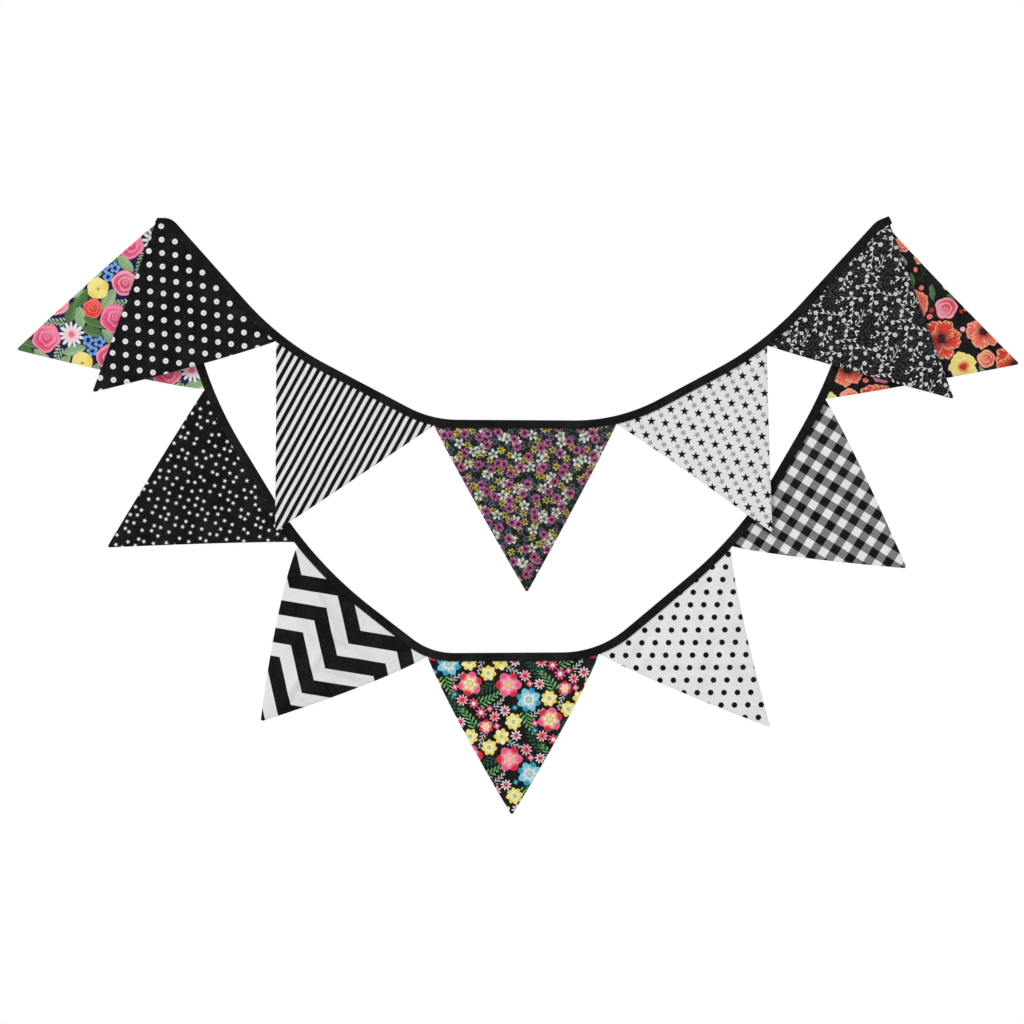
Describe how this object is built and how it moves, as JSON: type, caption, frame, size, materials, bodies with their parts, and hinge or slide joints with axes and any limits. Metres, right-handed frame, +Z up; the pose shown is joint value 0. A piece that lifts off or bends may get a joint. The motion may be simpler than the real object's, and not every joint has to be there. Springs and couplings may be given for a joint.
{
  "type": "bunting",
  "caption": "Triangular pennants of printed cotton on a folded tape, which hangs flat against a wall in a front and a rear swag from its top corners",
  "frame": {"origin": "On the wall at the left pin, where the front swag's upper left end and the rear swag's upper left end lie over each other.", "axes": "+X runs along the wall to the right as seen from the front, +Y points into the wall, and +Z is up. The wall is the plane y = 0 and the bunting lies in front of it, at negative y."},
  "size_m": [1.132, 0.0134, 0.6756],
  "materials": {
    "tape_cotton": "matt black woven cotton tape, folded and pressed",
    "dot_black_cotton": "matt woven cotton, black with white dots",
    "stripe_cotton": "matt woven cotton, narrow black and white stripes",
    "small_floral_cotton": "matt woven cotton, small flowers on black",
    "star_white_cotton": "matt woven cotton, white with black and pale grey stars",
    "vine_cotton": "matt woven cotton, white flowering vine on black",
    "poppy_cotton": "matt woven cotton, red and orange flowers on black",
    "gingham_cotton": "matt woven cotton, black, grey and white checks",
    "dot_white_cotton": "matt woven cotton, white with black dots",
    "bright_floral_cotton": "matt woven cotton, bright flowers on black",
    "chevron_cotton": "matt woven cotton, black and white zigzag",
    "star_black_cotton": "matt woven cotton, black with small white stars",
    "navy_floral_cotton": "matt woven cotton, roses and leaves on navy"
  },
  "bodies": {
    "root": {"tape": "tape_cotton", "pennant_dot_black": "dot_black_cotton", "pennant_stripe": "stripe_cotton", "pennant_small_floral": "small_floral_cotton", "pennant_star_white": "star_white_cotton", "pennant_vine": "vine_cotton", "pennant_poppy": "poppy_cotton", "pennant_gingham": "gingham_cotton", "pennant_dot_white": "dot_white_cotton", "pennant_bright_floral": "bright_floral_cotton", "pennant_chevron": "chevron_cotton", "pennant_star_black": "star_black_cotton", "pennant_navy_floral": "navy_floral_cotton"}
  },
  "joints": []
}
